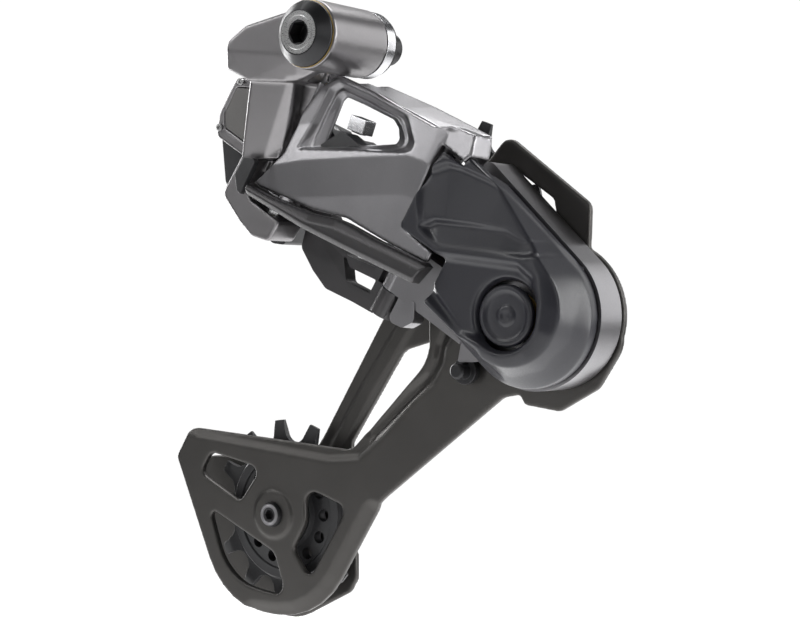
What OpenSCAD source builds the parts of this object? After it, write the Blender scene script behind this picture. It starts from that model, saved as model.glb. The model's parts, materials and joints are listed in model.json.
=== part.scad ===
// Long-cage electronic rear derailleur for a 12-speed bicycle.
// Origin: hanger bolt axis at the hanger's outer face. +X forward, +Y inboard, +Z up.

/* [Hanger bolt] */
// Radius of the bolt's M10 thread
thread_r = 5; // [4.5:0.1:5.5]
// Length of thread that enters the hanger
thread_len = 9; // [7:0.5:11]
// Outer radius of the bolt's conical head
head_r = 9.6; // [9:0.1:10]
// Radius of the flat grey face on the head
head_face_r = 6.5; // [5.5:0.1:7.5]
// How far the head stands outboard of the hanger
head_reach = 36; // [35:0.5:38]
// Radius of the upper knuckle's barrel
barrel_r = 10.2; // [10:0.1:11]

/* [Parallelogram] */
// Lean of the four link pins, forward from the vertical
pin_lean = 32; // [30:1:34]
// Distance between the two pins of one link
link_len = 50.5; // [49:0.5:51]
// Outboard angle of the links at rest, on the smallest sprocket
link_angle = 8; // [7:0.5:9]
// Distance across from the outer to the inner link's pins
link_gap = 15; // [15:0.5:16]
// Radius of the link pins
pin_r = 2; // [1.8:0.1:2.2]

/* [Cage] */
// Forward place of the cage's axle
axle_x = 62; // [61:0.5:63]
// Height of the cage's axle
axle_z = -81; // [-82:0.5:-80]
// Outer plate's outboard face
plate_y = 4.2; // [4:0.1:4.4]
// Thickness of the outer plate
plate_t = 2.4; // [2:0.1:2.6]
// Thickness of the inner plate
inner_plate_t = 2; // [1.6:0.1:2.4]
// Clear width between the two plates
cage_gap = 11.2; // [11:0.1:11.6]

/* [Pulleys] */
// Teeth on each pulley
teeth = 13; // [13:1:13]
// Chain pitch
chain_pitch = 12.7; // [12.7:0.1:12.7]
// Thickness of a tooth
tooth_t = 2; // [1.8:0.1:2.2]
// Height of a tooth's tip above the pitch circle
tooth_rise = 3; // [2.5:0.1:3.2]

/* [Hidden] */
$fn = 96;

// Running clearance of a pin in its bore, and the wider one at the opened pivot
run_gap = 0.06;
open_gap = 0.3;

// Outboard pin of the upper knuckle, and the step from it to the inboard pin
b_pin = [-19, -9.5, -32];
pin_step = [-4, link_gap, 0];
lug_r = 4;

// Pulley and plate planes
gap_y = plate_y + plate_t;
cover_screw_at = [[46.5, -43], [76.8, -68.4], [71.4, -97.8]];
pulley_y = gap_y + cage_gap / 2;
inner_y = gap_y + cage_gap;
guide_at = [23, -51.5];
tension_at = [-41.5, -144];
pitch_r = chain_pitch / 2 / sin(180 / teeth);
tip_r = pitch_r + tooth_rise;

// ---------- placing ----------

// Frame whose Z runs along the link pins, at the upper knuckle's outboard pin
module slant() { translate(b_pin) rotate([0, pin_lean, 0]) children(); }
// Frame of the outer link: X along the link, Y inboard, Z along its pins
module on_link() { slant() rotate([0, 0, -link_angle]) children(); }
// Frame of the inner link, the same but at the inboard pin
module on_inner() { slant() translate(pin_step) rotate([0, 0, -link_angle]) children(); }
// Frame of the lower knuckle, at its outboard pin
module at_p() { on_link() translate([link_len, 0, 0]) rotate([0, 0, link_angle]) children(); }
// Extrudes an X-Z outline from y0 to y1
module slab(y0, y1) { translate([0, y1, 0]) rotate([90, 0, 0]) linear_extrude(y1 - y0) children(); }
// A round bar along Y
module bar_y(r, y0, y1) { translate([0, y0, 0]) rotate([-90, 0, 0]) cylinder(r = r, h = y1 - y0); }
// A cone along Y, radius ra at y0 and rb at y1
module cone_y(ra, rb, y0, y1) {
    translate([0, y0, 0]) rotate([-90, 0, 0]) cylinder(r1 = ra, r2 = rb, h = y1 - y0);
}
// A round bar along Z
module bar_z(r, z0, z1) { translate([0, 0, z0]) cylinder(r = r, h = z1 - z0); }
// Moves an X-Z outline to a point given as [x, z]
module at_xz(p) { translate([p[0], 0, p[1]]) children(); }
// Places children on the cage's axle
module at_axle() { translate([axle_x, 0, axle_z]) children(); }
// A ring of n copies about Y
module ring_y(n, r) { for (i = [0 : n - 1]) rotate([0, i * 360 / n, 0]) translate([r, 0, 0]) children(); }

// Unit vector from a to b
function unit(a, b) = (b - a) / norm(b - a);
// Arc that rounds corner b, between neighbours a and c, to radius r
function corner(a, b, c, r) =
    let (u = unit(b, a), v = unit(b, c), half = acos(u * v) / 2,
         reach = min(r / tan(half), norm(a - b) * 0.49, norm(c - b) * 0.49),
         rr = reach * tan(half), mid = b + (u + v) / norm(u + v) * rr / sin(half),
         from = b + u * reach - mid, to = b + v * reach - mid,
         start = atan2(from[1], from[0]), turn0 = atan2(to[1], to[0]) - start,
         turn = turn0 > 180 ? turn0 - 360 : turn0 < -180 ? turn0 + 360 : turn0,
         steps = max(1, ceil(abs(turn) / 12)))
    [for (i = [0 : steps]) mid + rr * [cos(start + turn * i / steps), sin(start + turn * i / steps)]];
// Outline through corners given as [x, z, rounding radius]
module rounded(c) {
    n = len(c);
    xz = [for (p = c) [p[0], p[1]]];
    polygon([for (i = [0 : n - 1]) each corner(xz[(i + n - 1) % n], xz[i], xz[(i + 1) % n], c[i][2])]);
}

// ---------- hanger bolt, fixed to the frame ----------

module hanger_bolt() {
    color("dimgray") difference() {
        union() {
            cone_y(head_face_r, head_r, -head_reach, -head_reach + 3);
            bar_y(head_r, -head_reach + 3, -head_reach + 3.6);
            bar_y(7, -head_reach + 3.6, 0);
            bar_y(thread_r, 0, thread_len);
        }
        rotate([90, 0, 0]) translate([0, 0, head_reach - 5]) cylinder(r = 3.4, h = 6, $fn = 6);
    }
}

module hanger_collar() {
    color("gainsboro") difference() {
        union() {
            bar_y(barrel_r - 0.2, -5.6, -1.6);
            // tab that the tension screw bears on
            slab(-5, -1.6) rounded([[-7.4, -4, 0.5], [-7.4, -12.4, 1], [-12.6, -12.4, 1], [-12.6, -4, 1]]);
        }
        bar_y(7.03, -7, 0);
    }
}

module hanger_seal() {
    color("black") difference() {
        bar_y(9.4, -1.5, 0);
        bar_y(7.03, -2, 1);
    }
}

// ---------- upper knuckle ----------

// Barrel, wing, leg, lower ear and rear frame, with the lug of the outboard pin
module b_knuckle() {
    color("silver") difference() {
        union() {
            bar_y(barrel_r, -32, -6);
            // wing: a flat cover behind the barrel with a bevelled lower front
            hull() {
                slab(-25, -24) rounded([
                    [-8, 6, 1], [-14, 8.2, 3], [-29, 5.6, 3], [-35.6, 1.6, 2], [-36.4, -1.2, 2], [-8, -5, 1]]);
                slab(-22, -8) rounded([
                    [-4, 9.3, 1], [-14, 9, 4], [-30, 6, 5], [-36.8, 2.4, 3], [-38.6, -6.2, 0.6],
                    [-30, -10.4, 3], [-12, -12, 2], [-4, -9.3, 1]]);
            }
            // leg: comes down and inboard from the wing
            hull() {
                slab(-20.5, -9) polygon([[-30, -6], [-30.5, -11], [-14.2, -11.3], [-12.5, -7]]);
                slab(-12.9, -2) polygon([[-37, -27.5], [-40.5, -33], [-26, -33.5], [-22, -28], [-21.4, -25]]);
            }
            // boss of the tension screw
            slab(-8.5, -1.2) rounded([[-30, -4, 1], [-30, -13, 2], [-18, -14, 2], [-18, -5, 1]]);
            slant() {
                // lug of the outboard pin, joined to the leg
                bar_z(lug_r, -4.6, 11.6);
                hull() {
                    translate([-9, 0, -4.6]) cube([7, 8, 14.6]);
                    translate([-2, 0, -4.6]) cube([1.5, 3.9, 14.6]);
                }
                // lower ear under both link ends, and the web that carries it
                slab(-3.6, 8.6) rounded([
                    [-17.6, -5, 1], [-18.6, -25, 3], [-8.2, -28.8, 3], [-1.7, -30.2, 4], [5.2, -28.2, 2],
                    [5.6, -21, 1], [-8, -21, 2], [-12, -16, 2], [-12, -5, 1]]);
                // rear frame beside the leg
                slab(2, 12) rounded([
                    [-37, 6.5, 1.5], [-37.4, -6, 2], [-34.6, -13, 2], [-10, -13, 1], [-10, 12, 2],
                    [-24, 14, 2]]);
            }
        }
        bar_y(8.6, -33, -5);
        // thread of the tension screw, and room for its head
        translate([-36, -4.2, -9]) rotate([0, 90, 0]) cylinder(r = 1.52, h = 25);
        translate([-38, -4.2, -9]) rotate([0, 90, 0]) cylinder(r = 2.6, h = 7.4);
        slant() {
            bar_z(pin_r + 0.02, -27.6, 30);
            // clearance round the outer link's barrels
            bar_z(lug_r + 0.4, 11.8, 26);
            bar_z(lug_r + 0.4, -20.8, -4.8);
            // recess of the motor cover and the drive's space behind it
            slab(1, 3.4) rear_window(0);
            slab(3.3, 13) rear_window(2);
        }
        // relief between barrel and leg, where the link's top corner passes
        on_link() translate([-3.4, -9, 12.2]) cube([30, 20, 15]);
    }
}

// Outline of the opening in the rear frame, drawn in by inset
module rear_window(inset) {
    polygon([
        [-35.4 + inset, 4 - inset], [-35.4 + inset, -5 + inset], [-32.6 + inset, -9 + inset],
        [-15 - inset, -9 + inset], [-15 - inset, 6 - inset], [-27 + inset, 8 - inset]]);
}

module b_bushing() {
    color("goldenrod") difference() {
        union() {
            bar_y(8.58, -31.9, -6);
            bar_y(9.8, -32.35, -32.05);
        }
        bar_y(7.06, -40, 0);
    }
}

// Black case of the drive, with the ears of the inboard pin
module motor_case() {
    color("#1c1c1e") difference() {
        slant() union() {
            slab(12.3, 22) rounded([
                [-36, 4, 2], [-36.5, -8, 3], [-26.5, -24.4, 4], [-16, -29.5, 3], [-9.5, -31, 2],
                [-9.5, 7, 1], [-24, 12, 3]]);
            // stepped lower end beside the silver ear
            slab(5, 12.4) rounded([[-34.4, -13.3, 0.5], [-25.4, -24.9, 3], [-19.2, -24.9, 1], [-19.2, -13.3, 1]]);
            // ears of the inboard pin
            slab(8.9, 21) rounded([[-12, -20.6, 0.5], [-19, -25.4, 2], [-12, -31, 3], [-2, -32.6, 3],
                [2.4, -30.6, 1.5], [1.6, -24, 2], [0.4, -20.6, 0.5]]);
            slab(10.9, 21) rounded([[-9.7, 3.2, 0.4], [-9.7, 7.2, 0.4], [-2, 8.2, 1], [0.5, 7, 1], [0.5, 3.2, 0.4]]);
        }
        slant() {
            translate(pin_step) bar_z(pin_r + 0.02, -28.6, 12);
            // bore of the function button's stem
            translate([-19, 16.5, 4]) cylinder(r = 1.7, h = 12);
            // space of the drive motor and its board
            slab(13.5, 20.5) polygon([[-34, 1], [-34, -6], [-24, -16], [-12, -16], [-12, 3], [-24, 9]]);
        }
    }
}

module motor_cover() {
    color("dimgray") slant() slab(2.1, 3.2) offset(delta = -0.15) rear_window(0);
}

module drive_motor() {
    color("silver") slant() translate([-31, 17, -3]) rotate([0, 90, 0]) union() {
        cylinder(r = 3.3, h = 12);
        translate([0, 0, 12]) cylinder(r = 1, h = 4);
    }
}

module circuit_board() {
    color("darkgreen") slant() slab(10.7, 12.2) polygon([
        [-32.6, 1], [-32.6, -3.4], [-31, -6.2], [-17.8, -6.2], [-17.8, 3], [-26, 4.8]]);
}

module function_button() {
    color("black") slant() translate([-19, 16.5, 0]) union() {
        bar_z(2.3, 12.2, 13.6);
        bar_z(1.55, 7, 12.3);
    }
}

// Dust cover over the lower corner of the outer link's hinge
module hinge_cover() {
    color("#161616") on_link() slab(-7.9, -5.9) polygon([
        [-14.5, -10.5], [-14.8, -16.6], [-11, -20.2], [-9.2, -20.4], [-9.2, -9.3], [-10.5, -8.6]]);
}

module b_tension_screw() {
    color("gray") translate([-33.2, -4.2, -9]) rotate([0, 90, 0]) difference() {
        union() {
            cylinder(r = 1.5, h = 20.4);
            cylinder(r = 2.4, h = 2.4);
        }
        translate([0, 0, -0.1]) cylinder(r = 1.15, h = 1.6, $fn = 6);
    }
}

module motor_screws() {
    color("gray") slant() for (p = [[-34.2, 6.4], [-34.4, -9.8], [-26.5, 10.6]]) translate([p[0], 1.98, p[1]])
        rotate([90, 0, 0]) difference() {
            cylinder(r = 1.1, h = 0.9);
            translate([0, 0, 0.3]) cylinder(r = 0.6, h = 1, $fn = 6);
        }
}

module link_pin(z0, z1) {
    bar_z(pin_r, z0, z1);
    bar_z(pin_r - 0.5, z1, z1 + 0.3);
}
module link_pin_b_outer() { color("lightgray") slant() link_pin(-27.5, 23); }
module link_pin_b_inner() { color("lightgray") slant() translate(pin_step) link_pin(-28, 7.8); }

// ---------- outer link ----------

// Triangular window of the outer link's face
module link_window() {
    hull() {
        translate([9.6, 21]) circle(r = 1.2, $fn = 32);
        translate([32, 23.8]) circle(r = 3.2, $fn = 32);
        translate([11.8, 8.6]) circle(r = 1, $fn = 32);
    }
}

module outer_link() {
    color("darkgray") on_link() difference() {
        union() {
            // face
            slab(-6.5, -4.4) polygon([
                [-8, -15.5], [-4, -8], [-1.7, -1.7], [-2.8, 12], [-1, 21], [2.7, 26], [33, 31], [52, 33.5],
                [52.8, 4.1], [66, 3.4], [66, 0], [48, -3], [32, -5], [18, -10], [2, -13]]);
            // roof, sloped up towards the knuckle and inboard
            hull() {
                slab(-6.5, -5.5) polygon([[2.7, 24.6], [2.7, 26.2], [33, 31.5], [52, 33.6], [52, 31.4], [33, 28.4]]);
                slab(7, 8) polygon([[2, 27], [2, 29], [33, 34.4], [56.4, 37.4], [57, 34], [33, 32]]);
            }
            // floor behind the skid rail
            slab(-6.5, 2) polygon([[-6, -15.3], [18, -10], [32, -5], [48, -3], [48, -1], [31, -3], [17, -8], [-6, -13.3]]);
            // barrels of the two pins
            bar_z(lug_r, -15, -5);
            bar_z(lug_r, 12, 22.6);
            translate([link_len, 0, 0]) {
                bar_z(lug_r, -3, 5);
                bar_z(lug_r, 22, 31);
            }
            // posts that join the barrels to the face
            translate([-3, -5, -15]) cube([6, 4, 10]);
            translate([-2.5, -5, 12]) cube([5.5, 4, 10.6]);
            translate([link_len - 3.5, -5, -3]) cube([5, 3.5, 8]);
            translate([link_len - 3.5, -5, 22]) cube([5, 3.5, 9.6]);
        }
        slab(-7, -3) link_window();
        // corner cut away where the roof swings past the hanger collar
        translate([-1, -1, 24]) cube([10, 12, 12]);
        translate([-1, 3, 24]) cube([13.5, 9, 12]);
        for (x = [0, link_len]) translate([x, 0, 0]) bar_z(2.9, -20, 32);
    }
}

module link_bushings(spans, r_in) {
    for (s = spans) difference() {
        bar_z(2.88, s[0], s[1]);
        bar_z(r_in, s[0] - 1, s[1] + 1);
    }
}

module outer_link_bushings() {
    color("goldenrod") on_link() {
        link_bushings([[-15, -5], [12, 22.6]], pin_r + run_gap);
        translate([link_len, 0, 0]) link_bushings([[-3, 5], [22, 31]], pin_r + run_gap);
    }
}

module skid_rail() {
    color("#262626") on_link() difference() {
        slab(-9.4, -4.6) polygon([
            [-7.6, -16], [-6.2, -19], [20, -15.6], [42, -11.4], [67, -6.4], [69, 0.4], [67, 0.6],
            [48, -3.2], [35, -5.2], [30, -6.4], [21, -10], [4, -14]]);
        slab(-6.4, 0) polygon([
            [-9, -15.6], [2, -13.1], [18, -10.1], [32, -5.1], [48, -3.1], [66.2, -0.1], [66.2, 5], [-9, 5]]);
    }
}

// Battery in the hollow behind the link's face, with a raised end for the latch
module battery_pack() {
    color("#1e1e22") on_link() difference() {
        slab(-3.8, 6.4) rounded([
            [7, -7.6, 1.5], [17, -6.8, 2], [31, -2, 2], [43, -0.4, 1.5], [43, 5, 1.5], [25, 6.5, 2], [24, 14.6, 1], [14, 14.6, 2],
            [7, 5, 2]]);
        slab(2.4, 7) polygon([[10, 8.4], [20, 16], [10, 16]]);
    }
}

module battery_latch() {
    color("gainsboro") on_link() translate([13.4, -1.6, 14.8]) rotate([0, -12, 0]) union() {
        translate([0, 0, 0.6]) cube([6.6, 4.6, 4.4]);
        translate([1, 1, 0.2]) cube([4, 2.6, 0.6]);
    }
}

// ---------- inner link ----------

module inner_link() {
    color("#1a1a1c") on_inner() difference() {
        union() {
            slab(-2.5, 2) rounded([
                [-3, 2.4, 0.5], [-3, -20, 0.5], [9, -20.4, 3], [11.6, -28.6, 2], [20, -31.8, 3],
                [28, -33.6, 4], [40, -31, 4], [54.2, -28.6, 2.4], [54.2, -20.4, 1], [48.5, -20.4, 0.3], [48.5, -4, 0.3], [52, -4, 0.4], [51.5, 2, 1], [30, 0, 4], [10, 3.5, 4]]);
            bar_z(lug_r, -20, 2.6);
            translate([link_len, 0, 0]) bar_z(lug_r, -28.6, -20.3);
            translate([link_len, 0, 0]) bar_z(lug_r, -4, 2);
        }
        slab(-5, 5) rounded([[15, -5, 3], [15, -13, 3], [30, -20.6, 2], [42, -17.6, 1], [42, -6, 2]]);
        slab(-5, 5) rounded([[27, -19.6, 1.5], [34, -27.2, 2], [44.5, -25.2, 0.5], [44.5, -20.6, 0.5],
            [33, -23, 1.5]]);
        translate([link_len, 0, 0]) translate([-5.2, -5, -20.3]) cube([20, 10, 16.3]);
        bar_z(2.9, -30, 10);
        translate([link_len, 0, 0]) bar_z(2.9, -40, 10);
    }
}

module inner_link_bushings() {
    color("goldenrod") on_inner() {
        link_bushings([[-20, 2.6]], pin_r + run_gap);
        translate([link_len, 0, 0]) link_bushings([[-28.6, -20.3], [-4, 2]], pin_r + open_gap);
    }
}

// ---------- lower knuckle ----------

// Rim outline of the lower knuckle: a drum with a tapering shoulder up and back
module knuckle_outline(r) {
    hull() {
        translate([axle_x, axle_z]) circle(r = r);
        translate([46.5, -41]) circle(r = r - 17.6, $fn = 32);
        translate([40, -46]) circle(r = r - 17.6, $fn = 32);
    }
}

module p_knuckle() {
    color("gray") difference() {
        union() {
            slab(-8.4, 3.2) knuckle_outline(21.2);
            // drum that holds the cage spring
            at_axle() bar_y(15, -17, -8);
            // shoulder that the stop pin rests on
            slab(-1.2, 0.3) rounded([[44, -70, 1], [33, -88, 3], [31.6, -94.6, 0.6], [37, -94.6, 0.6], [48, -93, 1]]);
            at_p() {
                bar_z(lug_r, 5.3, 21.7);
                hull() {
                    translate([-1, 1, 5.3]) cube([3, 2.9, 16.4]);
                    translate([11, 8.4, 5.3]) cube([6, 8, 16.4]);
                }
                slab(8.2, 18) polygon([[9, 5.3], [9, 21.7], [28, 24], [28, 5.3]]);
            }
            at_p() translate(pin_step) {
                bar_z(lug_r, -20, -4.3);
                slab(-3.8, 2.4) polygon([[0, -20], [0, -4.3], [30, -4.3], [30, -20]]);
                // ear that hangs beside the inner link's end
                rotate([0, 0, -link_angle]) slab(-2.5, 2) rounded([
                    [4.8, -18, 0.3], [4.8, -28.2, 2], [11.1, -26.8, 2.4], [14, -22.8, 2], [11, -18, 1]]);
            }
        }
        at_p() bar_z(pin_r + 0.02, 0, 30);
        at_p() translate(pin_step) bar_z(pin_r + 0.02, -30, 0);
        at_axle() {
            bar_y(13.4, -15.4, 0.4);
            bar_y(6.6, -30, 10);
            bar_y(9.2, 0.2, 10);
        }
        for (p = cover_screw_at) at_xz(p) {
            bar_y(1, -9, 4);
            bar_y(1.5, 1.7, 4);
        }
    }
}

module link_pin_p_outer() { color("lightgray") at_p() link_pin(-2.5, 30.5); }
module link_pin_p_inner() { color("lightgray") at_p() translate(pin_step) link_pin(-28, 1.7); }

// Cover's outline at its front face and at its rim
module cover_front() {
    hull() {
        translate([axle_x + 1, axle_z + 2]) circle(r = 16);
        translate([54, -48]) circle(r = 6, $fn = 32);
        translate([45, -36.4]) circle(r = 3, $fn = 32);
        translate([31, -54]) circle(r = 3, $fn = 32);
        translate([34.4, -74.6]) circle(r = 1.6, $fn = 32);
    }
}

module cover_shell(grow, front, rim) {
    hull() {
        slab(front, front + 1) offset(r = grow) cover_front();
        slab(rim - 4, rim) offset(r = grow) hull() {
            translate([axle_x, axle_z]) circle(r = 20.4);
            translate([47.5, -42]) circle(r = 2.6, $fn = 32);
            translate([40, -53]) circle(r = 2.6, $fn = 32);
        }
    }
}

module p_cover() {
    color("#24252a") difference() {
        cover_shell(0, -25.8, -8.7);
        cover_shell(-1.8, -23.8, -8);
        at_axle() bar_y(8.9, -30, -20);
        // keeps the left wall clear of the outer link
        at_p() translate([-20, -12, -30]) cube([22.3, 40, 90]);
        at_p() translate([0, -12, -30]) cube([19.6, 40, 34.5]);
        at_p() bar_z(7.3, -30, 36);
        at_p() translate([0, -3, 0]) cube([17.5, 40, 40]);
        at_p() translate([0, -12, 29.5]) cube([12, 40, 10]);
    }
}

module p_cap() {
    color("#303136") at_axle() difference() {
        union() {
            bar_y(8.6, -24.2, -22.4);
            bar_y(7, -22.5, -20.7);
        }
        translate([0, -25.2, 0]) rotate([-90, 0, 0]) cylinder(r1 = 3, r2 = 1.2, h = 1.6);
    }
}

module p_cover_screws() {
    color("gray") for (p = cover_screw_at) at_xz(p) {
        bar_y(0.96, -8.6, 1.8);
        bar_y(1.45, 1.75, 3.1);
    }
}

module p_bushing() {
    color("goldenrod") at_axle() difference() {
        bar_y(6.58, -16.9, 0.1);
        bar_y(5.06, -30, 10);
    }
}

module p_seal() {
    color("black") at_axle() difference() {
        bar_y(9.18, 0.4, 2.5);
        bar_y(5.4, -1, 4);
    }
}

// Torsion spring: a stack of close turns inside the drum
module cage_spring() {
    color("slategray") at_axle() for (i = [0 : 3]) translate([0, -13.4 + 3.2 * i, 0])
        rotate([90, 0, 0]) rotate_extrude() translate([10.8, 0]) circle(r = 1.35);
}

// ---------- cage ----------

module cage_axle() {
    color("silver") at_axle() union() {
        bar_y(5, -16.8, gap_y);
        bar_y(7.6, gap_y, gap_y + 0.8);
    }
}

// Outer plate: guide end, drum side, arm and the wide end round the tension pulley
module outer_plate_outline() {
    rounded([
        [16.6, -74, 10], [13.4, -60, 8], [13.4, -42, 8], [26, -39.5, 6], [37.5, -37, 4], [45.4, -28.8, 3.5],
        [72.6, -49.6, 3.5], [72, -63, 3], [81.8, -73, 8], [82.7, -90, 10], [75, -101.6, 4],
        [62.5, -108.4, 3], [51, -106.8, 2], [49.4, -103.9, 1.5], [43.5, -104.9, 5], [-1, -138.2, 16],
        [-24.8, -176, 28], [-61.2, -176, 30], [-82.3, -127.4, 2.5], [-76.4, -117.9, 3],
        [-12, -122.6, 6], [17.2, -94, 14]]);
    translate([axle_x, axle_z]) circle(r = 21.4);
}

// The three windows round the tension pulley's bolt
module plate_windows() {
    rounded([[-72.2, -132.4, 2.5], [-67.6, -125.4, 3], [-46.8, -129.8, 2.5], [-55.4, -140.9, 2.5]]);
    rounded([[-68.6, -143.2, 1.6], [-41.4, -156, 5], [-36.4, -169.8, 3], [-60.5, -166.4, 20]]);
    rounded([[-29.4, -134.6, 4], [-12.6, -140.2, 3], [-27.4, -163.6, 2.5], [-34.2, -154.6, 3], [-28.9, -146, 8]]);
}

// Opening in the plate's upper corner, above the drum
module corner_window() {
    rounded([[44.6, -36.6, 1.5], [60.8, -47.8, 2.5], [62, -56, 3], [57.5, -57, 3], [44, -43, 3]]);
}

module cage_outer_plate() {
    color("#3a3836") difference() {
        union() {
            slab(plate_y, gap_y) outer_plate_outline();
            at_xz(tension_at) bar_y(7.4, plate_y - 0.6, plate_y + 0.1);
        }
        slab(plate_y - 1, gap_y + 1) {
            plate_windows();
            corner_window();
        }
        at_axle() bar_y(5.02, -5, 20);
        at_xz(guide_at) bar_y(2.52, -5, 20);
        at_xz(guide_at) bar_y(3.75, plate_y - 1, plate_y + 1.2);
        at_xz(tension_at) bar_y(2.52, -5, 20);
    }
}

module cage_inner_plate() {
    color("#33322f") difference() {
        slab(inner_y, inner_y + inner_plate_t) rounded([
            [12, -39.5, 8], [33, -38, 8], [38, -50, 8], [22, -74, 8], [10, -89, 4], [-1, -92, 6],
            [-21, -121.5, 4], [-19, -164, 4], [-21.5, -168.6, 4], [-42, -179, 16], [-70, -176, 26],
            [-86, -134, 6], [-80, -128, 6], [-36.5, -126, 4], [-31.6, -119, 4], [-8.6, -82, 6], [4, -58, 6]]);
        at_xz(guide_at) bar_y(2.52, 0, 30);
        at_xz(tension_at) bar_y(2.52, 0, 30);
    }
}

module stop_pin() {
    color("#202020") translate([32.7, 0, -97.2]) union() {
        bar_y(2.4, -3.4, plate_y);
        cone_y(1.8, 2.4, -3.9, -3.4);
        bar_y(4, 0.6, 2.4);
        bar_y(3.4, 2.4, plate_y);
    }
}

// ---------- pulleys ----------

// Toothed rim outline: a disc with a roller seat and opened flanks between teeth
module pulley_outline() {
    difference() {
        circle(r = tip_r);
        for (i = [0 : teeth - 1]) rotate(i * 360 / teeth) {
            translate([pitch_r, 0]) circle(r = 4);
            polygon([[pitch_r - 1, -4], [pitch_r - 1, 4], [tip_r + 2, 6.2], [tip_r + 2, -6.2]]);
        }
    }
}

module pulley() {
    difference() {
        union() {
            intersection() {
                slab(pulley_y - tooth_t / 2, pulley_y + tooth_t / 2) pulley_outline();
                rotate([-90, 0, 0]) rotate_extrude() polygon([
                    [0, pulley_y - 1], [pitch_r, pulley_y - 1], [tip_r + 0.1, pulley_y - 0.45],
                    [tip_r + 0.1, pulley_y + 0.45], [pitch_r, pulley_y + 1], [0, pulley_y + 1]]);
            }
            rotate([-90, 0, 0]) rotate_extrude() polygon([
                [8, pulley_y - 3.4], [11, pulley_y - 3.4], [11.6, pulley_y - 1.8], [18, pulley_y - 1.6],
                [18.4, pulley_y - 2.2], [21, pulley_y - 2.2], [22, pulley_y - 0.9],
                [22, pulley_y + 0.9], [21, pulley_y + 2.2], [18.4, pulley_y + 2.2],
                [18, pulley_y + 1.6], [11.6, pulley_y + 1.8], [11, pulley_y + 3.4], [8, pulley_y + 3.4]]);
        }
        bar_y(8, -5, 30);
        ring_y(13, 15) bar_y(1.9, 0, 30);
    }
}

module race() {
    difference() {
        bar_y(7.98, pulley_y - 3.3, pulley_y + 3.3);
        bar_y(6.9, 0, 30);
    }
}
module balls() { translate([0, pulley_y, 0]) ring_y(11, 5.6) sphere(r = 1.25, $fn = 32); }
module seals() {
    for (y = [pulley_y - 4.6, pulley_y + 3.5]) difference() {
        bar_y(10.6, y, y + 1.1);
        bar_y(4.5, 0, 30);
    }
}
module sleeve() {
    difference() {
        bar_y(4.2, gap_y + 0.02, inner_y - 0.02);
        bar_y(2.52, 0, 30);
    }
}
module pulley_bolt(head_y, head_rr) {
    difference() {
        union() {
            bar_y(2.5, head_y, inner_y + inner_plate_t + 0.8);
            cone_y(head_rr - 0.5, head_rr, head_y - 1.5, head_y);
        }
        translate([0, head_y - 1.6, 0]) rotate([-90, 0, 0]) cylinder(r = 1.7, h = 2.2, $fn = 6);
    }
}

module guide_pulley() { color("#2a2a2c") at_xz(guide_at) pulley(); }
module guide_race() { color("silver") at_xz(guide_at) race(); }
module guide_balls() { color("white") at_xz(guide_at) balls(); }
module guide_seals() { color("#3a3a3c") at_xz(guide_at) seals(); }
module guide_sleeve() { color("silver") at_xz(guide_at) sleeve(); }
module guide_bolt() { color("gray") at_xz(guide_at) pulley_bolt(plate_y + 1.2, 3.7); }
module tension_pulley() { color("#2a2a2c") at_xz(tension_at) pulley(); }
module tension_race() { color("silver") at_xz(tension_at) race(); }
module tension_balls() { color("white") at_xz(tension_at) balls(); }
module tension_seals() { color("#3a3a3c") at_xz(tension_at) seals(); }
module tension_sleeve() { color("silver") at_xz(tension_at) sleeve(); }
module tension_bolt() { color("gray") at_xz(tension_at) pulley_bolt(plate_y - 0.6, 4.1); }

hanger_bolt();
hanger_collar();
hanger_seal();
b_knuckle();
b_bushing();
motor_case();
motor_cover();
drive_motor();
circuit_board();
function_button();
hinge_cover();
b_tension_screw();
motor_screws();
link_pin_b_outer();
link_pin_b_inner();
outer_link();
outer_link_bushings();
skid_rail();
battery_pack();
battery_latch();
inner_link();
inner_link_bushings();
p_knuckle();
link_pin_p_outer();
link_pin_p_inner();
p_cover();
p_cap();
p_cover_screws();
p_bushing();
p_seal();
cage_spring();
cage_axle();
cage_outer_plate();
cage_inner_plate();
stop_pin();
guide_pulley();
guide_race();
guide_balls();
guide_seals();
guide_sleeve();
guide_bolt();
tension_pulley();
tension_race();
tension_balls();
tension_seals();
tension_sleeve();
tension_bolt();
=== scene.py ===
"""Looks of the long-cage electronic rear derailleur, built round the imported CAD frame."""
import json
import math

import bmesh
import bpy
import numpy as np
from mathutils import Matrix, Vector

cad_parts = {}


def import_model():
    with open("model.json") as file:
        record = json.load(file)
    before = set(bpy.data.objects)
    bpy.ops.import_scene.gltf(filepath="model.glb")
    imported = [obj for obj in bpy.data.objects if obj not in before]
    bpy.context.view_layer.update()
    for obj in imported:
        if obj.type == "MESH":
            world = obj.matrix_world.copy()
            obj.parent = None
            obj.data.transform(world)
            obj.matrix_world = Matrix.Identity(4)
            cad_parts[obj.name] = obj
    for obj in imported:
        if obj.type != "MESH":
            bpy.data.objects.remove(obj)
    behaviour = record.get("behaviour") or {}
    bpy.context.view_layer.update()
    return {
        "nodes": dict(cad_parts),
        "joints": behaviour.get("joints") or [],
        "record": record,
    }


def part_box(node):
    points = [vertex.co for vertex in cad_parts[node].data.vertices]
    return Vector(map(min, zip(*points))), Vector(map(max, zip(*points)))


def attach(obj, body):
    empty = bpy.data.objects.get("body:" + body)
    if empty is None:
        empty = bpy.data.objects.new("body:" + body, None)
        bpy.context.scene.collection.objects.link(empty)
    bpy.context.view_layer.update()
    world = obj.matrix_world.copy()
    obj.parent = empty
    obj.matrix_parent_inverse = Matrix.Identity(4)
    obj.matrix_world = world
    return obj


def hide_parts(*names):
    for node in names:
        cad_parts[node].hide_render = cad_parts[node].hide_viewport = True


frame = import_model()
NODES = frame["nodes"]
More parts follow.
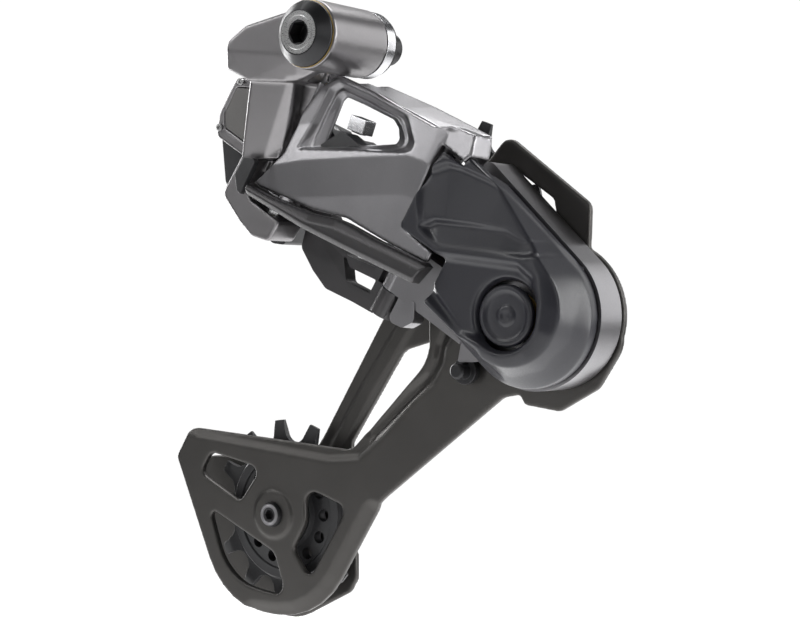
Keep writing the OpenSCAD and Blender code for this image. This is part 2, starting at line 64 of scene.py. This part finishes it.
SLOT_OF = {s["node"]: s["material_slot"] for s in frame["record"]["subparts"]}
BODY_OF = {n: body for body, members in frame["record"]["behaviour"]["bodies"].items() for n in members}
JOINTS = {j["name"]: j for j in frame["joints"]}
MM = 0.001

# ---------------------------------------------------------------- camera
# The viewing angle: 35 degrees round from the outboard side, level, 85 mm lens
VIEW_TURN = math.radians(35)
AXLE = Vector(JOINTS["cage_swing"]["pos_m"])
camera = bpy.data.objects.new("camera", bpy.data.cameras.new("camera"))
camera.location = (0.33355, -0.46167, -0.07901)
camera.rotation_euler = (math.radians(90), 0, VIEW_TURN)
camera.data.lens, camera.data.sensor_width = 85, 36
camera.data.clip_start, camera.data.clip_end = 0.01, 20
bpy.context.scene.collection.objects.link(camera)
bpy.context.scene.camera = camera


# ---------------------------------------------------------------- materials
class Nodes:
    """A material's node tree with short calls for adding and linking nodes."""

    def __init__(self, name):
        self.material = bpy.data.materials.new(name)
        self.material.use_nodes = True
        self.tree = self.material.node_tree
        self.shader = self.tree.nodes["Principled BSDF"]
        self.coords = self.tree.nodes.new("ShaderNodeTexCoord").outputs["Object"]

    def add(self, kind, inputs=(), **settings):
        node = self.tree.nodes.new(kind)
        for key, value in settings.items():
            setattr(node, key, value)
        for key, value in dict(inputs).items():
            if isinstance(value, bpy.types.NodeSocket):
                self.tree.links.new(value, node.inputs[key])
            else:
                node.inputs[key].default_value = value
        return node

    def noise(self, scale, detail=2.0, stretch=None):
        coords = self.coords
        if stretch:
            coords = self.add("ShaderNodeMapping", {"Vector": coords, "Scale": stretch}).outputs[0]
        inputs = {"Vector": coords, "Scale": scale, "Detail": detail}
        return self.add("ShaderNodeTexNoise", inputs).outputs["Fac"]

    def between(self, fac, low, high, at=(0.35, 0.65)):
        """Maps fac's range at to low..high."""
        inputs = {"Value": fac, "From Min": at[0], "From Max": at[1], "To Min": low, "To Max": high}
        return self.add("ShaderNodeMapRange", inputs).outputs["Result"]

    def mix(self, fac, a, b):
        node = self.add("ShaderNodeMix", data_type="RGBA")
        for socket, value in ((node.inputs[0], fac), (node.inputs[6], a), (node.inputs[7], b)):
            if isinstance(value, bpy.types.NodeSocket):
                self.tree.links.new(value, socket)
            else:
                socket.default_value = value
        return node.outputs[2]

    def link(self, output, name):
        self.tree.links.new(output, self.shader.inputs[name])


def shade(rgb, factor):
    return tuple(min(1.0, c * factor) for c in rgb) + (1.0,)


# Height of the fine grain in the bump of every finish
GRAIN_HEIGHT = 0.004 * MM


def finish(name, rgb, metallic=0.0, roughness=0.4, coat=0.0, mottle=0.1, grain=3000, grain_depth=0.25,
           brushed=None, flakes=0.0, wear=0.0):
    """A satin, brushed, cast or flaked surface with soft mottling, fine grain and lighter worn edges."""
    n = Nodes(name)
    n.shader.inputs["Metallic"].default_value = metallic
    n.shader.inputs["Coat Weight"].default_value = coat
    n.shader.inputs["Coat Roughness"].default_value = 0.25
    broad = n.noise(70, 3)
    colour = n.mix(n.between(broad, 0, 1), shade(rgb, 1 - mottle), shade(rgb, 1 + mottle))
    if flakes:
        cells = n.add("ShaderNodeTexVoronoi", {"Vector": n.coords, "Scale": 8000.0}).outputs["Color"]
        spark = n.add("ShaderNodeSeparateColor", {"Color": cells}).outputs["Red"]
        colour = n.mix(n.between(spark, 0, flakes, (0.9, 1.0)), colour, shade(rgb, 2.6))
    if wear:
        edge = n.add("ShaderNodeNewGeometry").outputs["Pointiness"]
        colour = n.mix(n.between(edge, 0, wear, (0.53, 0.62)), colour, shade(rgb, 2.2))
    n.link(colour, "Base Color")
    fine = n.noise(grain, 2, brushed)
    n.link(n.between(fine, roughness * 0.85, roughness * 1.15), "Roughness")
    bump = n.add("ShaderNodeBump", {"Height": fine, "Strength": grain_depth, "Distance": GRAIN_HEIGHT})
    n.link(bump.outputs["Normal"], "Normal")
    return n.material


LOOKS = {
    "black_steel": dict(rgb=(0.035, 0.035, 0.037), metallic=0.7, roughness=0.36, coat=0.1, mottle=0.03,
                        grain=1500, grain_depth=0.03),
    "polished_alloy": dict(rgb=(0.72, 0.72, 0.74), metallic=1.0, roughness=0.2, grain=900,
                           brushed=(1, 8, 1)),
    "rubber_black": dict(rgb=(0.018, 0.018, 0.018), metallic=0.0, roughness=0.7, grain=2200,
                         grain_depth=0.5),
    "silver_alloy": dict(rgb=(0.27, 0.262, 0.268), metallic=1.0, roughness=0.34, coat=0.1, mottle=0.03,
                         grain=1400, grain_depth=0.05),
    "bushing": dict(rgb=(0.42, 0.3, 0.12), metallic=1.0, roughness=0.4, grain=1200),
    "black_plastic": dict(rgb=(0.028, 0.028, 0.03), metallic=0.0, roughness=0.38, coat=0.1, grain=2500,
                          grain_depth=0.5),
    "gray_paint": dict(rgb=(0.2, 0.195, 0.19), metallic=0.6, roughness=0.42, grain=2600, mottle=0.04,
                       flakes=0.1),
    "steel": dict(rgb=(0.5, 0.5, 0.5), metallic=1.0, roughness=0.3, grain=1500, brushed=(1, 1, 5)),
    "board_green": dict(rgb=(0.01, 0.09, 0.04), metallic=0.0, roughness=0.35, grain=1800),
    "gunmetal_alloy": dict(rgb=(0.27, 0.265, 0.275), metallic=1.0, roughness=0.33, coat=0.15, mottle=0.04,
                           flakes=0.08, grain=2600),
    "black_anodised": dict(rgb=(0.06, 0.058, 0.06), metallic=0.6, roughness=0.36, grain=2600, mottle=0.05,
                           wear=0.2),
    "cover_plastic": dict(rgb=(0.019, 0.019, 0.025), metallic=0.0, roughness=0.36, coat=0.15, mottle=0.05,
                          flakes=0.3, grain=2400, grain_depth=0.5),
    "dark_anodised": dict(rgb=(0.068, 0.065, 0.062), metallic=0.7, roughness=0.4, grain=2600, mottle=0.05),
    "ceramic": dict(rgb=(0.75, 0.74, 0.7), metallic=0.0, roughness=0.1, mottle=0.03, grain=900),
}
FINISHES = {slot: finish(slot, **look) for slot, look in LOOKS.items()}


def dress(obj, slot):
    """Gives obj one material, that of the record's slot."""
    obj.data.materials.clear()
    obj.data.materials.append(FINISHES[slot])


# ---------------------------------------------------------------- mesh tools

def object_from(name, bm):
    """Turns a bmesh into an object of the scene."""
    mesh = bpy.data.meshes.new(name)
    bm.to_mesh(mesh)
    bm.free()
    obj = bpy.data.objects.new(name, mesh)
    bpy.context.scene.collection.objects.link(obj)
    return obj


def baked(obj):
    """Applies obj's modifiers to its own mesh."""
    bpy.context.view_layer.update()
    evaluated = obj.evaluated_get(bpy.context.evaluated_depsgraph_get())
    mesh = bpy.data.meshes.new_from_object(evaluated)
    obj.modifiers.clear()
    obj.data = mesh
    return obj


# Corners nearer than this are one corner
WELD_GAP = 0.002 * MM


def copy_of(name, node_name):
    """A welded copy of a CAD node's mesh, free to be worked on."""
    bm = bmesh.new()
    bm.from_mesh(NODES[node_name].data)
    bmesh.ops.remove_doubles(bm, verts=bm.verts, dist=WELD_GAP)
    return object_from(name, bm)


def loft(name, rings, capped=True):
    """A solid through rings of equally many points in metres, capped at its ends or joined end to end."""
    bm = bmesh.new()
    made = [[bm.verts.new(p) for p in ring] for ring in rings]
    for low, high in zip(made, made[1:] if capped else made[1:] + made[:1]):
        for i, corner in enumerate(low):
            after = (i + 1) % len(low)
            bm.faces.new((corner, low[after], high[after], high[i]))
    if capped:
        bm.faces.new(made[0][::-1])
        bm.faces.new(made[-1])
    bmesh.ops.recalc_face_normals(bm, faces=bm.faces)
    return object_from(name, bm)


def circle(centre, radius, y, sides):
    """Points round a circle about Y, at an X-Z centre in millimetres."""
    x, z = centre
    turns = [math.tau * i / sides for i in range(sides)]
    return [Vector((x + radius * math.cos(t), y, z + radius * math.sin(t))) * MM for t in turns]


def cone(name, centre, r0, r1, y0, y1):
    """A cone along Y about an X-Z centre in millimetres."""
    return loft(name, [circle(centre, r0, y0, 64), circle(centre, r1, y1, 64)])


def work(obj, tools, operation):
    """Adds or cuts the tool solids, and removes them from the scene."""
    for tool in tools:
        modifier = obj.modifiers.new("work", "BOOLEAN")
        modifier.operation, modifier.object, modifier.solver = operation, tool, "EXACT"
        baked(obj)
        bpy.data.objects.remove(tool)
    return obj


def distance(points, line):
    """Distance of each X-Z point from a line of straight stretches, in millimetres."""
    best = np.full(len(points), 1e9)
    for a, b in zip(np.array(line[:-1], float), np.array(line[1:], float)):
        along, gap = b - a, points - a
        t = np.clip(gap @ along / (along @ along), 0, 1)
        best = np.minimum(best, np.linalg.norm(gap - t[:, None] * along, axis=1))
    return best


def depth_inside(points, outline):
    """Distance inside a closed outline, negative outside it."""
    inside = np.zeros(len(points), bool)
    for a, b in zip(outline, outline[1:] + outline[:1]):
        if a[1] != b[1]:
            crosses = (a[1] > points[:, 1]) != (b[1] > points[:, 1])
            meets_at = a[0] + (points[:, 1] - a[1]) * (b[0] - a[0]) / (b[1] - a[1])
            inside ^= crosses & (points[:, 0] < meets_at)
    return np.where(inside, 1, -1) * distance(points, outline + outline[:1])


def step(x, low, high):
    """Smooth rise from 0 at low to 1 at high."""
    t = np.clip((x - low) / (high - low), 0, 1)
    return t * t * (3 - 2 * t)


def shingle(points, upper, lower, depth, width, length):
    """Steps down below the upper line and rises again to the surface over a length."""
    inside = step(depth_inside(points, upper + lower), -width / 2, width / 2)
    return depth * inside * np.clip(1 - distance(points, upper) / length, 0, 1)


def sculpt(obj, depth_at, front, hold, reach, place=Matrix.Identity(4)):
    """Presses the skin of obj inboard by depth_at(points), fading out from hold to reach behind the front."""
    count = len(obj.data.vertices)
    co = np.empty(count * 3)
    obj.data.vertices.foreach_get("co", co)
    turn, shift = np.array(place.to_3x3()), np.array(place.translation)
    local = (co.reshape(count, 3) - shift) @ turn / MM
    fade = 1 - step(local[:, 1], front + hold, front + reach)
    local[:, 1] += fade * depth_at(local[:, [0, 2]])
    obj.data.vertices.foreach_set("co", ((local * MM) @ turn.T + shift).ravel())
    obj.data.update()


def keep_clear(obj, place, radius):
    """Pushes obj's vertices out of a cylinder round the Z axis of place."""
    inverse = place.inverted()
    for vertex in obj.data.vertices:
        local = inverse @ vertex.co
        away = math.hypot(local.x, local.y)
        if 0 < away < radius:
            vertex.co = place @ Vector((local.x * radius / away, local.y * radius / away, local.z))


def evenly(obj, voxel):
    """Remeshes obj into even small faces."""
    remesh = obj.modifiers.new("remesh", "REMESH")
    remesh.mode, remesh.voxel_size = "VOXEL", voxel
    return baked(obj)


def smoothed(obj, passes):
    """Smooths obj, which rounds every edge as a casting's are."""
    smooth = obj.modifiers.new("smooth", "SMOOTH")
    smooth.factor, smooth.iterations = 0.5, passes
    baked(obj)
    obj.data.shade_smooth()
    return obj


def flatten(obj):
    """Joins faces that lie in one plane."""
    flat = obj.modifiers.new("flat", "DECIMATE")
    flat.decimate_type, flat.angle_limit = "DISSOLVE", math.radians(1.0)


def bevel(obj, width, segments, angle):
    """Bevels the edges that turn by more than angle degrees."""
    modifier = obj.modifiers.new("bevel", "BEVEL")
    modifier.width, modifier.segments = width, segments
    modifier.limit_method, modifier.angle_limit = "ANGLE", math.radians(angle)


def soften(obj, width, segments):
    """Rounds a CAD node's sharp edges with modifiers, and leaves its mesh alone."""
    attributes = obj.data.attributes
    if "custom_normal" in attributes:
        attributes.remove(attributes["custom_normal"])
    obj.data.shade_smooth()
    obj.modifiers.new("weld", "WELD").merge_threshold = WELD_GAP
    flatten(obj)
    bevel(obj, width, segments, 32)
    obj.modifiers.new("normals", "WEIGHTED_NORMAL").keep_sharp = False


def turned(name, centre, profile):
    """A solid turned about Y at an X-Z centre, from (radius, y) points that start and end on the axis."""
    axis_radius = 0.01
    obj = loft(name, [circle(centre, max(radius, axis_radius), y, 96) for radius, y in profile])
    obj.data.shade_smooth()
    bevel(obj, 0.12 * MM, 2, 35)
    obj.modifiers.new("normals", "WEIGHTED_NORMAL")
    return obj


def stand_in(obj, node_name):
    """obj is shown in place of a CAD node, with its finish and on its body."""
    dress(obj, SLOT_OF[node_name])
    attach(obj, BODY_OF[node_name])
    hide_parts(node_name)
    return obj


# Frame of the outer link: X along the link, Y inboard, Z along its pins
PIN_LEAN, LINK_ANGLE = math.radians(32), math.radians(8)
ON_LINK = (Matrix.Translation(Vector(JOINTS["outer_link_swing"]["pos_m"]))
           @ Matrix.Rotation(PIN_LEAN, 4, "Y") @ Matrix.Rotation(-LINK_ANGLE, 4, "Z"))


def on_link(outline, y):
    """An X-Z outline of the outer link in millimetres, at depth y, as points in metres."""
    return [ON_LINK @ Vector((x * MM, y * MM, z * MM)) for x, z in outline]


# ---------------------------------------------------------------- sculpted pieces
def knuckle_cover():
    """Moulded cover: two stepped panels one below the other, and a pocket round the cap."""
    axle = (AXLE.x / MM, AXLE.z / MM)
    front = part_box("p_cover")[0].y / MM
    crest = [(29, -53), (38, -40), (44, -39.5), (49, -41), (57, -45), (62.4, -49), (67, -57), (70, -64),
             (73.4, -71), (74, -78), (72.6, -84.4), (67.4, -89.4), (60.4, -91), (53.3, -88), (46, -86),
             (37, -77), (31, -66)]
    panel_top = [(34, -41.5), (39, -40.1), (43.9, -39), (48.7, -40.3), (57.1, -43.9), (62.4, -47.1),
                 (66.5, -52.2), (71.6, -59)]
    ledge_top = [(35.4, -56), (39.7, -54.6), (51.8, -56), (62.4, -57.8), (67.7, -60.7), (73.5, -60.9)]
    ledge_low = [(75.4, -64.4), (68.6, -65.2), (52.1, -63.2), (41.2, -61.8), (36.9, -57.8)]
    pocket = [(33, -64.6), (41.2, -64.2), (52.1, -65.6), (66.4, -67.4), (71, -71), (72.6, -78),
              (71.2, -84), (66.6, -88.2), (60.4, -89.8), (54.4, -88), (47, -86), (38, -78), (30, -72)]
    flank = [(30, -64), (34.6, -64), (36, -68), (38.8, -74.5), (47.6, -85.4), (53.6, -90.8), (56, -99),
             (40, -98), (24, -80)]

    def relief(points):
        away = np.maximum(-depth_inside(points, crest), 0)
        depth = 2.4 * np.clip(away / 7, 0, 1) ** 1.4
        depth += shingle(points, panel_top, ledge_top[::-1], 2.3, 2.2, 15)
        depth += shingle(points, ledge_top, ledge_low, 2.2, 1.8, 8)
        depth += 2.3 * step(depth_inside(points, pocket), -1.2, 1.8)
        return depth + 1.3 * step(depth_inside(points, flank), -0.8, 1.4)

    cover = copy_of("knuckle_cover", "p_cover")
    work(cover, [cone("cap_hole", axle, 12, 8.95, front - 1.7, front + 2.6),
                 cone("cap_bore", axle, 8.95, 8.95, front + 2.5, front + 7)], "DIFFERENCE")
    evenly(cover, 0.42 * MM)
    sculpt(cover, relief, front, 2.6, 15)
    smoothed(cover, 8)
    # room for the outer link's end to turn round the lower pin
    lower_pin = Matrix.Translation(Vector(JOINTS["lower_knuckle_swing"]["pos_m"]))
    keep_clear(cover, lower_pin @ Matrix.Rotation(PIN_LEAN, 4, "Y"), 7.4 * MM)
    stand_in(cover, "p_cover")
    cap = turned("knuckle_cap", axle, [
        (0, -23.8), (0.9, -23.75), (1.5, -24.05), (2.1, -24.1), (2.7, -23.8), (3.1, -23.5), (5.6, -23.45),
        (6.5, -23.6), (7.1, -24.1), (7.9, -24.15), (8.4, -23.8), (8.6, -23.3), (8.6, -22.4), (7, -22.4),
        (7, -20.7), (0, -20.7)])
    stand_in(cap, "p_cap")


def turned_ring(name, centre, r_in, r_out, y, height):
    """A thin washer face with a fine turned groove, standing just proud of y."""
    middle, groove, sunk = (r_in + r_out) / 2, 0.15, 0.3
    section = [(r_in, y + sunk), (r_in, y - height), (middle - groove, y - height),
               (middle, y - height * 0.4), (middle + groove, y - height), (r_out, y - height),
               (r_out, y + sunk)]
    return loft(name, [circle(centre, radius, at, 72) for radius, at in section], capped=False)


def bolt_faces():
    """Grey machined faces let into the black bolt heads, round their sockets."""
    hanger_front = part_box("hanger_bolt")[0].y / MM
    low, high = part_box("tension_bolt")
    middle = ((low.x + high.x) / 2 / MM, (low.z + high.z) / 2 / MM)
    hanger = turned_ring("hanger_bolt_face", (0, 0), 3.6, 6.2, hanger_front, 0.12)
    pulley = turned_ring("tension_bolt_face", middle, 2.3, 3.4, low.y / MM, 0.1)
    for ring, body, slot in ((hanger, "hanger", "steel"), (pulley, "cage", "gunmetal_alloy")):
        dress(ring, slot)
        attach(ring, body)


def upper_knuckle():
    """The silver casting: rounded edges, and a slanting crease down the leg."""
    leg_plane = Matrix.Translation(Vector((0, -20.5, -9)) * MM) @ Matrix.Rotation(math.radians(19.9), 4, "X")
    right_of_crease = [(-15, -0.5), (-31.5, -25.5), (-18, -28), (-9, -18), (-9, -0.5)]
    knuckle = evenly(copy_of("upper_knuckle", "b_knuckle"), 0.38 * MM)

    def relief(points):
        return 2.4 * np.clip(depth_inside(points, right_of_crease) / 7, 0, 1)

    sculpt(knuckle, relief, 0, 2.5, 5, leg_plane)
    stand_in(smoothed(knuckle, 12), "b_knuckle")


def outer_link():
    """Outer link: a crease across its face, and above it a window at the bottom of sloping walls."""
    crease = [(-12, -12), (-5.2, -7.4), (-2.3, -6.1), (7.1, 0.6), (21.2, 9.1), (33.6, 16.5), (42.6, 21.9),
              (49.7, 23.7), (58, 24)]
    above = crease + [(70, 45), (-20, 45)]

    def relief(points):
        over = np.maximum(depth_inside(points, above), 0)
        under = np.maximum(-depth_inside(points, above), 0)
        bow = 0.5 * ((points[:, 0] - 40) / 42) ** 2
        return 1.5 * np.clip(over / 11, 0, 1) + (0.9 + bow) * np.clip(under / 11, 0, 1)

    link = copy_of("outer_link_body", "outer_link")
    wall = [(0.6, 0.4), (1.4, 24), (4, 28), (20, 30.6), (36, 32), (38.4, 31), (45.4, 26.8), (45.8, 23.4),
            (43, 21), (23.6, 11.6)]
    roof_end = [(46, 33), (49, 30.4), (62.6, 30.4), (64, 33), (61.4, 38.4), (52, 36.4)]
    work(link, [loft("window_wall", [on_link(wall, -6.3), on_link(wall, -2.4)]),
                loft("roof_end", [on_link(roof_end, -6.4), on_link(roof_end, 2)])], "UNION")
    rim = [(1.4, 1.2), (2.2, 23.6), (4.6, 27), (20, 29.6), (35.4, 31), (37.4, 30.4), (44.4, 26.2),
           (44.8, 23.8), (42.6, 22), (23.6, 12.8)]
    floor_line = [(10.1, 7.2), (8.6, 22), (9.4, 23.6), (17, 25), (29.6, 26.8), (32.6, 25.8), (34.8, 23.4),
                  (34.6, 21.5), (30, 18.8), (23.8, 15.2)]
    work(link, [loft("recess", [on_link(rim, -6.9), on_link(floor_line, -3.2), on_link(floor_line, 0)])],
         "DIFFERENCE")
    evenly(link, 0.37 * MM)
    sculpt(link, relief, -6.5, 1.3, 2.1, ON_LINK)
    stand_in(smoothed(link, 7), "outer_link")


def skid_rail():
    """Rail under the link's face, chamfered along both of its edges."""
    upper = [(-7.6, -14.6), (-0.6, -13.2), (20.7, -9.6), (31.5, -5.6), (54.1, -0.8), (68, 1.6)]
    lower = [(-6.2, -19), (20, -15.6), (42, -11.4), (67, -6.4)]

    def relief(points):
        return (1.7 * (1 - np.clip(distance(points, upper) / 3, 0, 1))
                + 1.3 * (1 - np.clip(distance(points, lower) / 1.8, 0, 1)))

    rail = evenly(copy_of("skid_rail_body", "skid_rail"), 0.34 * MM)
    sculpt(rail, relief, -9.4, 2, 4, ON_LINK)
    stand_in(smoothed(rail, 5), "skid_rail")


def outer_plate():
    """Outer cage plate: pressed back behind a fold, grooved along the arm, bevelled low on its right."""
    fold = [(-82, -118.5), (-74, -121.4), (-20, -127), (-8, -126), (2, -118), (17, -103), (22, -96),
            (24.5, -88), (28, -80), (30, -70)]
    behind_fold = fold + [(-10, -60), (-90, -100)]
    groove = [(27.5, -80), (25.5, -84.5), (21.8, -90.4), (21.2, -94.6), (18, -99.8), (10, -105),
              (-4, -117)]
    low_edge = [(-3, -141.4), (-16.5, -162.9), (-21, -168.4), (-26.7, -172.5), (-33, -175.2),
                (-40.3, -176), (-50, -176)]

    def relief(points):
        depth = 1.3 * step(depth_inside(points, behind_fold), 0, 3.2) * (1 - step(points[:, 1], -80, -72))
        depth += 0.9 * (1 - step(distance(points, groove), 0.6, 3))
        return depth + 1.5 * (1 - step(distance(points, low_edge), 0.3, 4.6))

    plate = copy_of("outer_plate", "cage_outer_plate")
    flatten(plate)
    bevel(plate, 0.7 * MM, 2, 40)
    evenly(plate, 0.44 * MM)
    sculpt(plate, relief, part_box("cage_outer_plate")[0].y / MM, 8, 12)
    stand_in(smoothed(plate, 3), "cage_outer_plate")


def inner_plate():
    """Inner cage plate, stiffened by a channel pressed along its arm and a ring round the lower bolt."""
    channel = [(20, -56), (6, -76), (-14, -104), (-28, -126)]
    low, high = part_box("tension_bolt")
    centre = ((low + high) / 2 / MM).xz
    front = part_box("cage_inner_plate")[0].y / MM

    def relief(points):
        from_bolt = np.hypot(points[:, 0] - centre.x, points[:, 1] - centre.y)
        ring = (1 - step(np.abs(from_bolt - 13), 1.2, 3)) * (points[:, 1] < centre.y + 11)
        return -0.7 * np.maximum(1 - step(distance(points, channel), 1.6, 3.6), ring)

    plate = evenly(copy_of("inner_plate", "cage_inner_plate"), 0.44 * MM)
    sculpt(plate, relief, front, 8, 12)
    stand_in(smoothed(plate, 3), "cage_inner_plate")


# ---------------------------------------------------------------- every piece
# Bevel widths in millimetres of the nodes that show rounder edges than the rest
WIDTHS = {"p_knuckle": 0.8, "motor_case": 0.35, "inner_link": 0.25, "hanger_bolt": 0.2, "hanger_collar": 0.4,
          "battery_pack": 0.5}
PLAIN_WIDTH = 0.2
ROUND_ALREADY = ("guide_balls", "tension_balls", "cage_spring")
SCULPTED = ("p_cover", "p_cap", "skid_rail", "cage_inner_plate", "b_knuckle", "outer_link",
            "cage_outer_plate")
for node_name, node in NODES.items():
    dress(node, SLOT_OF[node_name])
    if node_name in ROUND_ALREADY:
        node.data.shade_smooth()
    elif node_name not in SCULPTED:
        soften(node, WIDTHS.get(node_name, PLAIN_WIDTH) * MM, 3 if node_name in WIDTHS else 2)
knuckle_cover()
bolt_faces()
upper_knuckle()
outer_link()
skid_rail()
outer_plate()
inner_plate()


# ---------------------------------------------------------------- floor, light
def panel(name, size, at, power):
    """A soft rectangular light at a point, aimed at the middle of the part."""
    light = bpy.data.objects.new(name, bpy.data.lights.new(name, "AREA"))
    light.data.shape, light.data.size, light.data.size_y = "RECTANGLE", size[0], size[1]
    light.data.energy = power
    light.location = at
    light.rotation_mode = "QUATERNION"
    light.rotation_quaternion = (Vector(CENTRE) - Vector(at)).to_track_quat("-Z", "Y")
    bpy.context.scene.collection.objects.link(light)


def floor():
    """A pale round floor under the part, which fades out towards its rim."""
    radius, gap, glow = 1.6, 4 * MM, 0.75
    bm = bmesh.new()
    bmesh.ops.create_circle(bm, cap_ends=True, radius=radius, segments=96)
    obj = object_from("floor", bm)
    # low enough for the cage to swing round its axle above it
    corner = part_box("cage_outer_plate")[0]
    obj.location.z = AXLE.z - math.hypot(corner.x - AXLE.x, corner.z - AXLE.z) - gap
    material = finish("floor_pale", (0.8, 0.8, 0.8), 0.0, 0.6, mottle=0.01, grain=40)
    tree = material.node_tree
    shader = tree.nodes["Principled BSDF"]
    shader.inputs["Emission Color"].default_value = (1, 1, 1, 1)
    shader.inputs["Emission Strength"].default_value = glow
    coords = tree.nodes.new("ShaderNodeTexCoord")
    away = tree.nodes.new("ShaderNodeVectorMath")
    away.operation = "LENGTH"
    fade = tree.nodes.new("ShaderNodeMapRange")
    fade.interpolation_type = "SMOOTHSTEP"
    for name, value in (("From Min", 0.15), ("From Max", 0.9), ("To Min", 1.0), ("To Max", 0.0)):
        fade.inputs[name].default_value = value
    tree.links.new(coords.outputs["Object"], away.inputs[0])
    tree.links.new(away.outputs["Value"], fade.inputs["Value"])
    tree.links.new(fade.outputs["Result"], shader.inputs["Alpha"])
    obj.data.materials.append(material)


def world():
    """Pale to the camera, dim to reflections, so that the soft lights shape the metal."""
    studio = bpy.data.worlds.new("studio")
    studio.use_nodes = True
    tree = studio.node_tree
    out = tree.nodes["World Output"]
    dim = tree.nodes["Background"]
    dim.inputs["Color"].default_value = (0.92, 0.95, 1.0, 1)
    dim.inputs["Strength"].default_value = 0.04
    pale = tree.nodes.new("ShaderNodeBackground")
    pale.inputs["Color"].default_value = (1, 1, 1, 1)
    pale.inputs["Strength"].default_value = 1.02
    path = tree.nodes.new("ShaderNodeLightPath")
    mix = tree.nodes.new("ShaderNodeMixShader")
    tree.links.new(path.outputs["Is Camera Ray"], mix.inputs[0])
    tree.links.new(dim.outputs[0], mix.inputs[1])
    tree.links.new(pale.outputs[0], mix.inputs[2])
    tree.links.new(mix.outputs[0], out.inputs["Surface"])
    bpy.context.scene.world = studio
    bpy.context.scene.view_settings.view_transform = "Standard"


CENTRE = (0.0, 0.0, -0.08)
# Name, width and height, place, power in watts
PANELS = (
    ("top_back", (0.9, 0.4), (-0.2, 0.45, 0.8), 9),
    ("top_front", (0.5, 0.25), (-0.5, -0.75, 0.85), 2.2),
    ("left_back", (0.35, 1.0), (-0.95, 0.25, 0.1), 9),
    ("left_high", (0.3, 0.4), (-0.78, -0.6, 0.42), 1.5),
    ("left_low", (0.12, 0.5), (-0.72, -0.7, -0.1), 0.2),
    ("front_strip", (0.14, 0.8), (-0.36, -1.0, 0.0), 1.0),
    ("front", (0.8, 0.8), (0.2, -1.1, 0.6), 1.0),
    ("right_back", (0.35, 0.9), (0.8, 0.4, 0.1), 6),
    ("right_front", (0.2, 0.8), (0.85, -0.55, 0.1), 1.3),
    ("behind", (0.8, 0.8), (0.4, 1.1, 0.2), 3),
)
floor()
world()
for light in PANELS:
    panel(*light)
